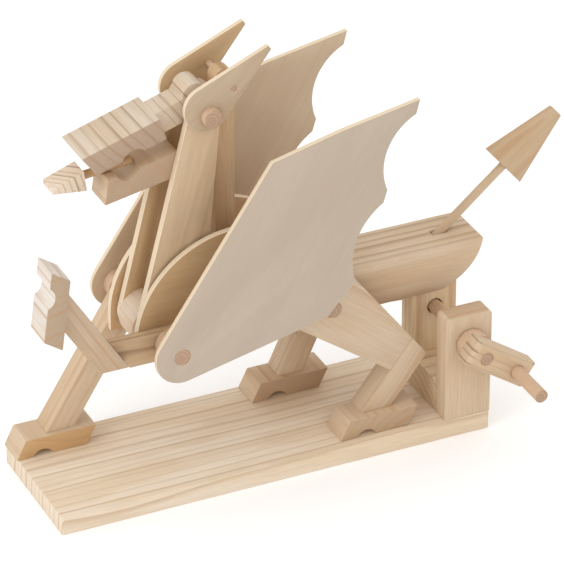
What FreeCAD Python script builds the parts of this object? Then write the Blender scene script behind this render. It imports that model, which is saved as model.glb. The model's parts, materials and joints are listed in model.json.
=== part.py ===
import FreeCAD, Part
import math
import os
import Sketcher

# Wooden crank automaton: a dragon on a base board, turned by a hand crank.
# Millimetres. X runs along the board, head towards -X, crank handle towards -Y, Z up.
# The origin is the middle of the underside of the base board.

V = FreeCAD.Vector
doc = FreeCAD.newDocument("dragon_automaton")

SIZES = [
    # stock and fits
    ("ply_thick", 3.0), ("cheek_thick", 4.0), ("leg_stock", 15.0), ("foot_width", 20.0),
    ("foot_set", 0.8), ("running_gap", 0.06), ("face_gap", 0.4), ("mid_y", 4.4), ("overcut", 1.0),
    # base board
    ("base_length", 270.0), ("base_width", 85.6), ("base_thick", 12.0), ("base_round", 1.6),
    # posts and the block between them
    ("post_width", 29.3), ("post_thick", 12.8), ("post_top", 80.3), ("post_round", 3.0),
    ("main_post_y", 2.4), ("main_post_top", 80.0), ("spacer_height", 20.5),
    # crank
    ("crank_inset", 13.9), ("crank_z", 62.0), ("crank_dia", 8.0), ("post_hole_dia", 9.6),
    ("collar_dia", 18.0), ("collar_long", 8.9), ("arm_wide", 17.0), ("arm_thick", 12.0),
    ("arm_reach", 24.0), ("arm_angle", -34.3), ("arm_end", 10.4), ("arm_chamfer", 2.6),
    ("handle_long", 30.0), ("disc_dia", 22.0), ("disc_thick", 5.0), ("crank_throw", 1.6),
    ("pin_dia", 4.0), ("rod_round", 4.2), ("rod_gap", 0.8),
    # dragon's body: its section is three arcs, its rear end an arc and a straight cut
    ("body_half", 17.15), ("body_depth", 38.2), ("keel_radius", 9.0), ("body_top", 110.5),
    ("body_front", -6.5), ("body_overhang", 9.0), ("stern_in", 5.0), ("stern_drop", 16.0),
    ("stern_low_in", 16.5), ("stern_low_drop", 31.5), ("keel_in", 24.0),
    # cheek plates at the shoulders
    ("cheek_radius", 61.4), ("cheek_x", -14.9), ("cheek_z", 94.5), ("cheek_bottom", 84.5),
    ("cheek_tail", 56.0),
    # chest rail
    ("rail_thick", 7.6), ("rail_top", 104.8), ("rail_bottom", 87.2), ("rail_rear", -20.0),
    # wing axle and the neck's hub on it
    ("axle_dia", 10.0), ("axle_x", -59.9), ("axle_z", 98.3), ("hub_dia", 29.0),
    ("lever_x", 7.9), ("lever_z", -23.3), ("lever_round", 6.5), ("drive_pin_set", 2.0),
    ("drive_pin_proud", 1.0),
    # wings: the tip as run and rise from the axle, the corners near it as back and drop from
    # the tip, the lower ones as run and rise from the axle, and a point in each scallop
    ("wing_span", 96.0), ("wing_lobe", 16.2), ("wingtip_run", 145.4), ("wingtip_rise", 130.3),
    ("crown_back", 49.6), ("crown_drop", 9.4), ("blunt_back", 2.3), ("blunt_drop", 8.8),
    ("top_scallop_back", 21.7), ("top_scallop_drop", 34.7), ("top_point_back", 19.5),
    ("top_point_drop", 52.9), ("top_notch_back", 21.9), ("top_notch_drop", 60.7),
    ("shoulder_run", 55.2), ("shoulder_rise", 110.8), ("mid_scallop_run", 104.9),
    ("mid_scallop_rise", 40.6), ("mid_point_run", 106.6), ("mid_point_rise", 22.7),
    ("low_scallop_run", 96.1), ("low_scallop_rise", 11.6), ("low_point_run", 89.9),
    ("low_point_rise", 4.6), ("hem_run", 72.0), ("hem_rise", -0.1),
    # neck
    ("neck_thick", 5.0), ("neck_pitch", 25.0), ("neck_front", 13.3), ("neck_crown", 11.2),
    ("neck_back", 8.0), ("neck_flare", 18.8), ("neck_flare_up", 56.5),
    # head
    ("head_x", -28.6), ("head_z", 229.2), ("head_dia", 11.0), ("head_proud", 4.6),
    ("head_collar_dia", 19.6), ("head_collar_long", 10.5),
    ("knuckle_radius", 11.5), ("knuckle_wide", 16.0), ("crest_radius", 7.2),
    ("crest_lead", 1.7), ("crest_rise", 10.2), ("jaw_wide", 29.6), ("jaw_thick", 14.0),
    ("jaw_front", 75.4), ("jaw_step", 26.6), ("jaw_lap", 2.0), ("jaw_tilt", 17.5),
    ("jaw_rake", 5.0), ("jaw_arch_in", 20.8), ("jaw_arch_half", 6.9), ("jaw_arch_high", 3.8),
    ("ear_radius", 13.7), ("ear_lead", 1.9), ("ear_lift", 4.8), ("ear_tip_run", 36.9),
    ("ear_tip_rise", 33.4), ("ear_tip_back", 1.7), ("ear_tip_high", 2.6),
    ("ear_pin_x", 14.4), ("ear_pin_z", 13.8), ("ear_pin_dia", 4.0),
    # link behind the neck
    ("link_wide", 12.0), ("link_thick", 10.0), ("link_foot_z", 112.0), ("link_play", 0.9),
    ("link_hollow", 1.0),
    # lower jaw and tongue
    ("chin_x", -88.9), ("chin_z", 182.7), ("chin_long", 48.0), ("chin_thick", 15.0),
    ("chin_tilt", 11.0), ("chin_rake", 5.2), ("chin_arch_in", 17.6), ("chin_arch_half", 6.9),
    ("chin_arch_deep", 5.4), ("groove_long", 32.0), ("groove_lead", 4.0),
    ("tongue_x", -98.8), ("tongue_z", 199.0),
    ("tongue_tilt", 7.0), ("tongue_dia", 5.0), ("tongue_long", 20.0), ("tongue_wide", 12.6),
    ("tongue_thick", 14.0), ("tongue_nose", 3.2), ("tongue_stem", 38.0), ("tongue_glued", 8.0),
    # tail
    ("tail_dia", 5.0), ("tail_inset", 20.0), ("tail_angle", 40.3), ("tail_out", 52.9),
    ("tail_in", 14.0), ("tail_pin_in", 3.0), ("tail_pin_dia", 2.4), ("tail_play", 0.6),
    ("tail_glued", 12.0), ("slot_floor", 3.0), ("barb_long", 44.2),
    ("barb_wide", 30.7), ("barb_tip", 5.6), ("barb_thick", 7.5), ("tail_lift", 5.0),
    # feet, shins and thighs
    ("foot_long", 43.5), ("foot_rake", 6.0), ("foot_high", 12.0), ("arch_start", 10.2),
    ("arch_long", 12.6), ("arch_high", 3.8),
    ("near_foot_x", 41.3), ("far_foot_x", 12.0), ("toe_overhang", 1.0),
    ("near_shin_x", 66.4), ("near_shin_angle", 52.6), ("far_shin_x", 38.6),
    ("far_shin_angle", 65.4), ("shin_joint", 36.3),
    ("front_leg_set", 28.4), ("front_leg_lead", 1.45), ("front_leg_top", 107.5),
    ("thigh_wide", 37.9), ("thigh_knee", 22.9), ("thigh_splay", 6.5), ("thigh_nose", 6.0),
    ("thigh_tail", 10.5), ("hip_x", 38.7), ("hip_z", 98.0), ("hip_lead", 18.0),
    ("far_hip_x", 2.4), ("far_hip_z", 103.6), ("hip_dia", 10.0), ("hip_depth", 12.0),
    # raised leg
    ("raised_angle", 122.0), ("raised_foot_x", -96.2), ("raised_foot_z", 92.5),
    ("paw_x", -140.0), ("paw_z", 124.7), ("paw_tilt", 7.7),
]

sheet = doc.addObject("Spreadsheet::Sheet", "Sizes")
for row, (alias, number) in enumerate(SIZES, 1):
    sheet.set(f"A{row}", alias)
    sheet.set(f"B{row}", str(number))
    sheet.setAlias(f"B{row}", alias)
doc.recompute()


class Values:
    """The sheet's numbers by name."""


s = Values()
for alias, number in SIZES:
    setattr(s, alias, float(sheet.get(alias)))

near_inner = s.mid_y - s.body_half - s.cheek_thick
far_inner = s.mid_y + s.body_half + s.cheek_thick
near_leg_y = near_inner - s.leg_stock
near_foot_y = near_inner - s.foot_set - s.foot_width
far_foot_y = far_inner + s.leg_stock + 2 * s.foot_set - s.foot_width
near_post_y = -s.base_width / 2
post_x = s.base_length / 2 - s.post_width
crank_x = s.base_length / 2 - s.crank_inset
body_rear = s.base_length / 2 + s.body_overhang
tail_x = body_rear - s.tail_inset
front_foot_x = -s.base_length / 2 - s.toe_overhang
foot_top = s.base_thick + s.foot_high
crank_far = s.main_post_y + s.post_thick + s.face_gap
rod_y = crank_far + s.disc_thick + s.rod_gap
neck_near_y = s.mid_y - (s.neck_pitch + s.neck_thick) / 2
neck_far_y = neck_near_y + s.neck_pitch
ear_near_y = neck_near_y - s.face_gap - s.ply_thick
ear_far_y = neck_far_y + s.neck_thick + s.face_gap
hub_near_y = neck_near_y + s.neck_thick
wing_near_y = s.mid_y - s.wing_span / 2
wing_far_y = s.mid_y + s.wing_span / 2 - s.ply_thick
rail_y = near_inner - s.rail_thick
shaft_arm_y = near_post_y - s.face_gap - s.collar_long - s.arm_thick
link_x = s.head_x + s.ear_pin_x

parts = []


def turned(point, angle, about=(0.0, 0.0)):
    """The point (x, z), turned by angle degrees about a centre, plus that centre."""
    a = math.radians(angle)
    x = about[0] + point[0] * math.cos(a) - point[1] * math.sin(a)
    z = about[1] + point[0] * math.sin(a) + point[1] * math.cos(a)
    return (x, z)


def meeting(point, angle, other, other_angle):
    """Where the line from point at angle crosses the line through other."""
    a, b = math.radians(angle), math.radians(other_angle)
    run = (other[0] - point[0]) * math.sin(b) - (other[1] - point[1]) * math.cos(b)
    run /= math.cos(a) * math.sin(b) - math.sin(a) * math.cos(b)
    return (point[0] + run * math.cos(a), point[1] + run * math.sin(a))


def round_end(before, after, centre, radius, side):
    """An arc round a centre, touched by the lines from before and to after.

    Side is 1 for an outline that runs anticlockwise and -1 for one that runs clockwise."""
    def touch(point, way):
        towards = math.degrees(math.atan2(point[1] - centre[1], point[0] - centre[0]))
        return towards + way * math.degrees(math.acos(radius / math.dist(point, centre)))
    first, last = touch(before, side), touch(after, -side)
    while side * (last - first) < 0:
        last += side * 360
    return [turned((radius, 0), first, centre),
            ("arc", turned((radius, 0), (first + last) / 2, centre),
             turned((radius, 0), last, centre))]


def strap(first, first_radius, last, last_radius):
    """The outline round two circles."""
    run = math.degrees(math.atan2(last[1] - first[1], last[0] - first[0]))
    lean = math.degrees(math.asin((first_radius - last_radius) / math.dist(first, last)))
    return [
        turned((0, first_radius), run - lean, first),
        ("arc", turned((-first_radius, 0), run, first),
         turned((0, -first_radius), run + lean, first)),
        turned((0, -last_radius), run + lean, last),
        ("arc", turned((last_radius, 0), run, last), turned((0, last_radius), run - lean, last))]


def new_body(label):
    body = doc.addObject("PartDesign::Body", label)
    body.Label = label
    parts.append(body)
    return body


def plane_of(body, role):
    for feature in body.Origin.OriginFeatures:
        if feature.Role == role:
            return feature
    raise ValueError(role)


def sketch_on(body, role, name):
    sketch = body.newObject("Sketcher::SketchObject", f"{body.Name}_{name}")
    sketch.AttachmentSupport = (plane_of(body, role), [""])
    sketch.MapMode = "FlatFace"
    return sketch


def outline(sketch, path):
    """Adds a closed outline. A path item is a point, or ("arc", through, end)."""
    def flat(point):
        return V(point[0], point[1], 0)
    last = path[0]
    for item in path[1:] + [path[0]]:
        if item[0] == "arc":
            sketch.addGeometry(Part.Arc(flat(last), flat(item[1]), flat(item[2])), False)
            last = item[2]
        elif math.dist(last, item) > 1e-6:
            sketch.addGeometry(Part.LineSegment(flat(last), flat(item)), False)
            last = item


def round_hole(sketch, point, radius):
    """Adds a circle held by its centre and by a radius bound to the sheet."""
    index = sketch.addGeometry(Part.Circle(V(point[0], point[1], 0), V(0, 0, 1), 1.0), False)
    number = sketch.addConstraint(Sketcher.Constraint("Radius", index, 1.0))
    sketch.setExpression(f"Constraints[{number}]", radius)


def pad(body, sketch, length, towards_far=True):
    feature = body.newObject("PartDesign::Pad", f"{body.Name}_pad_{sketch.Name[-4:]}")
    feature.Profile = sketch
    feature.setExpression("Length", length)
    feature.Reversed = towards_far
    sketch.Visibility = False
    return feature


def pocket_through(body, sketch):
    before = body.Shape.Volume
    feature = body.newObject("PartDesign::Pocket", f"{body.Name}_cut_{sketch.Name[-4:]}")
    feature.Profile = sketch
    feature.Type = 1
    feature.Midplane = True
    doc.recompute()
    if body.Shape.Volume > before - 0.01:
        raise ValueError(f"{body.Label}: {sketch.Name} cut nothing")
    return feature


def board(label, path, near_y, thickness, holes=()):
    """A flat piece seen from the side: its outline in X and Z, padded from near_y to +Y."""
    body = new_body(label)
    face = sketch_on(body, "XZ_Plane", "face")
    outline(face, path)
    pad(body, face, thickness)
    doc.recompute()
    if holes:
        drill = sketch_on(body, "XZ_Plane", "bore")
        for point, radius in holes:
            round_hole(drill, point, radius)
        pocket_through(body, drill)
    body.Placement.Base = V(0, near_y, 0)
    return body


def dowel(label, point, near_y, length, diameter):
    """A round rod along Y."""
    body = new_body(label)
    face = sketch_on(body, "XZ_Plane", "face")
    round_hole(face, point, f"{diameter} / 2")
    pad(body, face, length)
    doc.recompute()
    body.Placement.Base = V(0, near_y, 0)
    return body


def ring(label, point, near_y, length, outer, inner):
    """A round collar along Y with a bore."""
    body = new_body(label)
    face = sketch_on(body, "XZ_Plane", "face")
    round_hole(face, point, f"{outer} / 2")
    round_hole(face, point, f"{inner} / 2")
    pad(body, face, length)
    body.Placement.Base = V(0, near_y, 0)
    return body


def rounded(body, edges, radius):
    base = body.Tip
    feature = body.newObject("PartDesign::Fillet", f"{body.Name}_round")
    feature.Base = (base, edges)
    feature.setExpression("Radius", radius)
    doc.recompute()


def edges_where(body, test):
    return [f"Edge{i}" for i, edge in enumerate(body.Shape.Edges, 1) if test(edge)]


def along(edge, axis):
    start, end = edge.Vertexes[0].Point, edge.Vertexes[-1].Point
    return len(edge.Vertexes) == 2 and abs((end - start).normalize().dot(axis)) > 0.999


# base board, its four upright corners and its top edges softened
def make_base():
    body = new_body("base_board")
    face = sketch_on(body, "XY_Plane", "face")
    half_x, half_y = s.base_length / 2, s.base_width / 2
    outline(face, [(-half_x, -half_y), (half_x, -half_y), (half_x, half_y), (-half_x, half_y)])
    pad(body, face, "Sizes.base_thick", towards_far=False)
    doc.recompute()
    rounded(body, edges_where(body, lambda e: along(e, V(0, 0, 1))), "Sizes.base_round")


# the two posts and the block that ties them at the foot
def make_posts():
    right = post_x + s.post_width
    shaft = (crank_x, s.crank_z)
    bottom = s.base_thick
    top = s.post_top
    curve = s.post_round
    knee = curve * (1 - math.sqrt(0.5))
    near_path = [
        (post_x, bottom), (right, bottom), (right, top - curve),
        ("arc", (right - knee, top - knee), (right - curve, top)),
        (post_x + curve, top), ("arc", (post_x + knee, top - knee), (post_x, top - curve)),
    ]
    board("crank_post", near_path, near_post_y, "Sizes.post_thick",
          [(shaft, "Sizes.crank_dia / 2 + Sizes.running_gap")])
    high = s.main_post_top
    main_path = [(post_x, bottom), (right, bottom), (right, high), (post_x, high)]
    board("main_post", main_path, s.main_post_y, "Sizes.post_thick",
          [(shaft, "Sizes.post_hole_dia / 2")])
    block = bottom + s.spacer_height
    block_path = [(post_x, bottom), (right, bottom), (right, block), (post_x, block)]
    board("spacer_block", block_path, near_post_y + s.post_thick,
          "Sizes.main_post_y + Sizes.base_width / 2 - Sizes.post_thick")


# the dragon's body: a bar with a flat top and a keel-like belly, its rear end undercut
def belly():
    """Radius of the belly's side arcs, and how far down the keel's arc has its centre."""
    drop = s.body_depth - s.keel_radius
    spare = s.body_half ** 2 + drop ** 2 - s.keel_radius ** 2
    return spare / (2 * (s.body_half - s.keel_radius)), drop


def belly_half(depth):
    """Half the body's width at this depth below its top, above the keel's arc."""
    radius, _ = belly()
    return math.sqrt(radius ** 2 - depth ** 2) - radius + s.body_half


def make_body():
    body = new_body("body_bar")
    section = sketch_on(body, "YZ_Plane", "belly")
    radius, drop = belly()
    steep = math.degrees(math.atan2(drop, radius - s.body_half))
    far_centre = (s.mid_y + s.body_half - radius, s.body_top)
    near_centre = (s.mid_y - s.body_half + radius, s.body_top)
    far_top = (s.mid_y + s.body_half, s.body_top)
    near_top = (s.mid_y - s.body_half, s.body_top)
    outline(section, [
        near_top, far_top,
        ("arc", turned((radius, 0), -steep / 2, far_centre),
         turned((radius, 0), -steep, far_centre)),
        ("arc", (s.mid_y, s.body_top - s.body_depth), turned((-radius, 0), steep, near_centre)),
        ("arc", turned((-radius, 0), steep / 2, near_centre), near_top)])
    pad(body, section, "Sizes.base_length / 2 + Sizes.body_overhang - Sizes.body_front",
        towards_far=False)
    section.AttachmentOffset = FreeCAD.Placement(V(0, 0, s.body_front), FreeCAD.Rotation())
    doc.recompute()

    # undercut of the rear end, mortise for the main post and slot for the tail
    cuts = sketch_on(body, "XZ_Plane", "rear")
    low = s.body_top - s.body_depth - s.overcut
    beyond = body_rear + s.overcut
    outline(cuts, [(beyond, s.body_top), (body_rear, s.body_top),
                   ("arc", (body_rear - s.stern_in, s.body_top - s.stern_drop),
                    (body_rear - s.stern_low_in, s.body_top - s.stern_low_drop)),
                   (body_rear - s.keel_in, low), (beyond, low)])
    pocket_through(body, cuts)

    mortise = sketch_on(body, "XZ_Plane", "mort")
    outline(mortise, [(post_x, low), (post_x + s.post_width, low),
                      (post_x + s.post_width, s.main_post_top), (post_x, s.main_post_top)])
    mortise.AttachmentOffset = FreeCAD.Placement(V(0, 0, -s.main_post_y), FreeCAD.Rotation())
    cut = body.newObject("PartDesign::Pocket", "body_bar_cut_mort")
    cut.Profile = mortise
    cut.setExpression("Length", "Sizes.post_thick")
    before = body.Shape.Volume
    doc.recompute()
    check_cut(body, before)

    half = s.tail_dia / 2 + s.tail_play / 2
    slot = sketch_on(body, "XZ_Plane", "slot")
    pivot = tail_point(s.tail_pin_in - s.tail_in)
    floor = -s.tail_pin_in - s.slot_floor
    raised = s.tail_angle + s.tail_lift
    halfway = s.tail_angle + s.tail_lift / 2
    corner = half / math.cos(math.radians(s.tail_lift / 2))
    outline(slot, [
        turned((floor, -half), raised, pivot), turned((0, -corner), halfway, pivot),
        turned((s.tail_out, -half), s.tail_angle, pivot),
        turned((s.tail_out, half), raised, pivot), turned((0, corner), halfway, pivot),
        turned((floor, half), s.tail_angle, pivot)])
    cut = body.newObject("PartDesign::Pocket", "body_bar_cut_slot")
    cut.Profile = slot
    cut.setExpression("Length", "Sizes.tail_dia + Sizes.tail_play")
    slot.AttachmentOffset = FreeCAD.Placement(V(0, 0, -s.mid_y), FreeCAD.Rotation())
    cut.Midplane = True
    before = body.Shape.Volume
    doc.recompute()
    check_cut(body, before)

    # holes for the hip dowels and for the pin that carries the tail
    drill_side(body, (s.hip_x, s.hip_z), "Sizes.hip_dia / 2",
               s.mid_y - s.body_half - s.overcut, "Sizes.hip_depth + Sizes.overcut", "hipn")
    drill_side(body, (s.far_hip_x, s.far_hip_z), "Sizes.hip_dia / 2",
               s.mid_y + s.body_half - s.hip_depth, "Sizes.hip_depth + Sizes.overcut", "hipf")
    reach = tail_pin_reach()
    drill_side(body, pivot, "Sizes.tail_pin_dia / 2", s.mid_y - reach,
               "2 * Sizes.body_half", "tpin")


def check_cut(body, before):
    if body.Shape.Volume > before - 1:
        raise ValueError(f"{body.Label}: a cut missed")


def drill_side(body, point, radius, near_y, length, name):
    """A blind round hole along Y that starts at near_y."""
    sketch = sketch_on(body, "XZ_Plane", name)
    round_hole(sketch, point, radius)
    sketch.AttachmentOffset = FreeCAD.Placement(V(0, 0, -near_y), FreeCAD.Rotation())
    cut = body.newObject("PartDesign::Pocket", f"{body.Name}_cut_{name}")
    cut.Profile = sketch
    cut.setExpression("Length", length)
    before = body.Shape.Volume
    doc.recompute()
    check_cut(body, before)


def tail_point(distance):
    """A point on the tail's axis, this far out from where it leaves the body's top."""
    return turned((distance, 0), s.tail_angle, (tail_x, s.body_top))


def tail_pin_reach():
    """Half the length of the tail's cross pin, which ends inside the body's sides."""
    pivot = tail_point(s.tail_pin_in - s.tail_in)
    return belly_half(s.body_top - pivot[1]) - s.overcut


# the shoulder cheeks: half discs of ply with a tail, one each side of the body
def cheek_path():
    cx, cz, radius = s.cheek_x, s.cheek_z, s.cheek_radius
    low = s.cheek_bottom
    rear_z = s.body_top
    rear_x = cx + math.sqrt(radius ** 2 - (rear_z - cz) ** 2)
    half = math.atan2(rear_z - cz, rear_x - cx) / 2 + math.pi / 2
    middle = (cx + radius * math.cos(half), cz + radius * math.sin(half))
    return [
        (cx - radius, low), (s.cheek_tail, low), (s.cheek_tail, rear_z), (rear_x, rear_z),
        ("arc", middle, (cx - radius, cz))]


def make_cheeks():
    axle = ((s.axle_x, s.axle_z), "Sizes.axle_dia / 2 + Sizes.running_gap")
    link = ((link_x, s.link_foot_z), "Sizes.pin_dia / 2")
    near_hip = ((s.hip_x, s.hip_z), "Sizes.hip_dia / 2")
    far_hip = ((s.far_hip_x, s.far_hip_z), "Sizes.hip_dia / 2")
    board("cheek_near", cheek_path(), near_inner, "Sizes.cheek_thick", [axle, link, near_hip])
    board("cheek_far", cheek_path(), far_inner - s.cheek_thick, "Sizes.cheek_thick",
          [axle, link, far_hip])
    dowel("link_foot_pin", (link_x, s.link_foot_z), near_inner,
          "2 * (Sizes.body_half + Sizes.cheek_thick)", "Sizes.pin_dia")


# the rail along the chest, its front end cut to lie against the raised leg
def make_rail():
    lean = 1 / math.tan(math.radians(s.raised_angle))
    face_x = s.raised_foot_x + s.leg_stock / 2 / math.sin(math.radians(s.raised_angle))
    front_low = face_x + (s.rail_bottom - s.raised_foot_z) * lean
    front_high = face_x + (s.rail_top - s.raised_foot_z) * lean
    path = [(front_low, s.rail_bottom), (s.rail_rear, s.rail_bottom),
            (s.rail_rear, s.rail_top), (front_high, s.rail_top)]
    board("chest_rail", path, rail_y, "Sizes.rail_thick",
          [((s.axle_x, s.axle_z), "Sizes.axle_dia / 2 + Sizes.running_gap")])


# a foot: a slanted block with an arch under the toes; start is the toe's lower corner
def foot_path(start, tilt=0.0):
    points = [
        (0, 0), (s.arch_start, 0),
        ("arc", (s.arch_start + s.arch_long / 2, s.arch_high), (s.arch_start + s.arch_long, 0)),
        (s.foot_long, 0), (s.foot_long + s.foot_rake, s.foot_high),
        (s.foot_rake, s.foot_high)]
    path = []
    for item in points:
        if item[0] == "arc":
            path.append(("arc", turned(item[1], tilt, start), turned(item[2], tilt, start)))
        else:
            path.append(turned(item, tilt, start))
    return path


def bar_foot(foot_x, angle):
    """The two lower corners of a leg that leans at this angle and is cut level on its foot."""
    slant = s.leg_stock / 2 / math.sin(math.radians(angle))
    return (foot_x - slant, foot_top), (foot_x + slant, foot_top)


# a thigh is a wide board along the grain whose knee end lies against the shin, and the shin's
# top is cut in line with the thigh's rear edge
def make_rear_leg(side, foot_x, angle, hip, start):
    def on_face(distance):
        return turned((distance, s.leg_stock / 2), angle, (foot_x, foot_top))
    knee = on_face(s.shin_joint)
    low = on_face(s.shin_joint - s.thigh_knee / 2)
    high = on_face(s.shin_joint + s.thigh_knee / 2)
    grain = math.degrees(math.atan2(knee[1] - hip[1], knee[0] - hip[0])) + s.thigh_splay
    half = s.thigh_wide / 2
    rear = turned((s.thigh_tail, half), grain, hip)
    nose = turned((-s.hip_lead - s.thigh_nose, 0), grain, hip)
    board(f"{side}_thigh", [
        low, high, rear, turned((-s.hip_lead, half), grain, hip),
        ("arc", nose, turned((-s.hip_lead, -half), grain, hip))],
        start, "Sizes.leg_stock", [(hip, "Sizes.hip_dia / 2")])
    left, right = bar_foot(foot_x, angle)
    edge = math.degrees(math.atan2(high[1] - rear[1], high[0] - rear[0]))
    board(f"{side}_shin", [left, right, meeting(right, angle, high, edge), high],
          start, "Sizes.leg_stock")


def make_legs():
    for side, toe_x, start in (("near_rear", s.near_foot_x, near_foot_y),
                               ("far_rear", s.far_foot_x, far_foot_y),
                               ("far_front", front_foot_x, far_foot_y)):
        board(f"{side}_foot", foot_path((toe_x, s.base_thick)), start, "Sizes.foot_width")
    near_hip = (s.hip_x, s.hip_z)
    far_hip = (s.far_hip_x, s.far_hip_z)
    make_rear_leg("near", s.near_shin_x, s.near_shin_angle, near_hip, near_leg_y)
    make_rear_leg("far", s.far_shin_x, s.far_shin_angle, far_hip, far_inner)
    hip_long = "Sizes.leg_stock + Sizes.cheek_thick + Sizes.hip_depth"
    dowel("near_hip_dowel", near_hip, near_leg_y, hip_long, "Sizes.hip_dia")
    dowel("far_hip_dowel", far_hip, s.mid_y + s.body_half - s.hip_depth, hip_long,
          "Sizes.hip_dia")

    # the straight front leg stands on the toes' board end and passes the wing axle
    foot_x = front_foot_x + s.front_leg_set
    lean = math.degrees(math.atan2(s.axle_z - foot_top, s.axle_x - s.front_leg_lead - foot_x))
    left, right = bar_foot(foot_x, lean)
    run = (s.front_leg_top - foot_top) / math.tan(math.radians(lean))
    board("far_front_leg", [left, right, (right[0] + run, s.front_leg_top),
                            (left[0] + run, s.front_leg_top)], far_inner, "Sizes.leg_stock",
          [((s.axle_x, s.axle_z), "Sizes.axle_dia / 2 + Sizes.running_gap")])
    make_raised_leg()


# the raised leg: a foot stood on end as a paw, and a bar cut to lie flat on its back
def make_raised_leg():
    lean = 270 - s.paw_tilt
    heel = turned((s.foot_long, 0), lean)
    start = (s.paw_x - heel[0], s.paw_z - heel[1])
    board("raised_paw", foot_path(start, lean), near_foot_y, "Sizes.foot_width")
    back = turned((0, s.foot_high), lean, start)
    slant = s.leg_stock / 2 / math.sin(math.radians(s.raised_angle))
    left = (s.raised_foot_x - slant, s.raised_foot_z)
    right = (s.raised_foot_x + slant, s.raised_foot_z)
    board("raised_leg", [left, right, meeting(right, s.raised_angle, back, lean),
                         meeting(left, s.raised_angle, back, lean)],
          near_leg_y, "Sizes.leg_stock")


# crank: handle, arm, collar, shaft, and the disc with the crank pin behind the main post
def make_crank():
    shaft = (crank_x, s.crank_z)
    grip = turned((s.arm_reach, 0), s.arm_angle, shaft)
    half = s.arm_wide / 2
    corners = [turned(p, s.arm_angle, shaft) for p in
               [(-s.arm_end, -half), (s.arm_reach + s.arm_end, -half),
                (s.arm_reach + s.arm_end, half), (-s.arm_end, half)]]
    arm = board("crank_arm", corners, shaft_arm_y, "Sizes.arm_thick",
                [(shaft, "Sizes.crank_dia / 2"), (grip, "Sizes.crank_dia / 2")])
    front = [name for name in edges_where(arm, lambda e: len(e.Vertexes) == 2)
             if on_front(arm, name)]
    base = arm.Tip
    chamfer = arm.newObject("PartDesign::Chamfer", "crank_arm_bevel")
    chamfer.Base = (base, front)
    chamfer.setExpression("Size", "Sizes.arm_chamfer")
    doc.recompute()
    dowel("crank_shaft", shaft, shaft_arm_y,
          "Sizes.main_post_y + Sizes.post_thick + Sizes.disc_thick / 2 + Sizes.base_width / 2"
          " + 2 * Sizes.face_gap + Sizes.collar_long + Sizes.arm_thick", "Sizes.crank_dia")
    ring("crank_collar", shaft, near_post_y - s.face_gap - s.collar_long,
         "Sizes.collar_long", "Sizes.collar_dia", "Sizes.crank_dia")
    dowel("crank_handle", grip, shaft_arm_y - s.handle_long,
          "Sizes.handle_long + Sizes.arm_thick", "Sizes.crank_dia")
    throw = (crank_x - s.crank_throw, s.crank_z)
    disc = dowel("crank_disc", shaft, crank_far, "Sizes.disc_thick", "Sizes.disc_dia")
    drill_side(disc, shaft, "Sizes.crank_dia / 2", 0, "Sizes.disc_thick / 2", "near")
    drill_side(disc, throw, "Sizes.pin_dia / 2", s.disc_thick / 2, "Sizes.disc_thick / 2",
               "farb")
    dowel("crank_pin", throw, crank_far + s.disc_thick / 2,
          "Sizes.disc_thick / 2 + Sizes.face_gap", "Sizes.pin_dia")
    return throw


def on_front(body, name):
    edge = body.Shape.getElement(name)
    first = edge.Vertexes[0].Point.y
    return abs(first - edge.Vertexes[-1].Point.y) < 1e-6 and abs(first - shaft_arm_y) < 1e-3


# wings on their axle, with the collars that keep them off the chest
def wing_path():
    """Straight leading edge, top edge, three scallops behind and a round end at the axle."""
    def at(run, rise):
        return (s.axle_x + run, s.axle_z + rise)
    def from_tip(back, drop):
        return at(s.wingtip_run - back, s.wingtip_rise - drop)
    shoulder = at(s.shoulder_run, s.shoulder_rise)
    hem = at(s.hem_run, s.hem_rise)
    return [
        shoulder, from_tip(s.crown_back, s.crown_drop), from_tip(0, 0),
        from_tip(s.blunt_back, s.blunt_drop),
        ("arc", from_tip(s.top_scallop_back, s.top_scallop_drop),
         from_tip(s.top_point_back, s.top_point_drop)),
        from_tip(s.top_notch_back, s.top_notch_drop),
        ("arc", at(s.mid_scallop_run, s.mid_scallop_rise), at(s.mid_point_run, s.mid_point_rise)),
        ("arc", at(s.low_scallop_run, s.low_scallop_rise), at(s.low_point_run, s.low_point_rise)),
        hem] + round_end(hem, shoulder, (s.axle_x, s.axle_z), s.wing_lobe, -1)


def make_wings():
    axle = (s.axle_x, s.axle_z)
    bore = [(axle, "Sizes.axle_dia / 2")]
    board("wing_near", wing_path(), wing_near_y, "Sizes.ply_thick", bore)
    board("wing_far", wing_path(), wing_far_y, "Sizes.ply_thick", bore)
    dowel("wing_axle", axle, wing_near_y, "Sizes.wing_span", "Sizes.axle_dia")
    room = ("Sizes.wing_span / 2 - Sizes.ply_thick - Sizes.body_half - Sizes.cheek_thick"
            " - Sizes.face_gap")
    ring("wing_collar_near", axle, wing_near_y + s.ply_thick, f"{room} - Sizes.rail_thick",
         "Sizes.collar_dia", "Sizes.axle_dia")
    ring("wing_collar_far", axle, far_inner + s.leg_stock + s.face_gap,
         f"{room} - Sizes.leg_stock", "Sizes.collar_dia", "Sizes.axle_dia")


# neck: two ply plates and the hub between them, with the lever that the rod pulls
def neck_path():
    axle, head = (s.axle_x, s.axle_z), (s.head_x, s.head_z)
    lean = math.degrees(math.atan2(head[1] - axle[1], head[0] - axle[0]))
    length = math.dist(axle, head)
    middle = (s.neck_crown - s.neck_back) / 2
    top = (s.neck_crown + s.neck_back) / 2
    def at(up, ahead):
        return turned((up, ahead), lean, axle)
    return [
        at(0, s.neck_front), ("arc", at(-s.neck_front, 0), at(0, -s.neck_front)),
        at(s.neck_flare_up, -s.neck_flare), at(length, -s.neck_back),
        ("arc", at(length + top, middle), at(length, s.neck_crown))]


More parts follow.
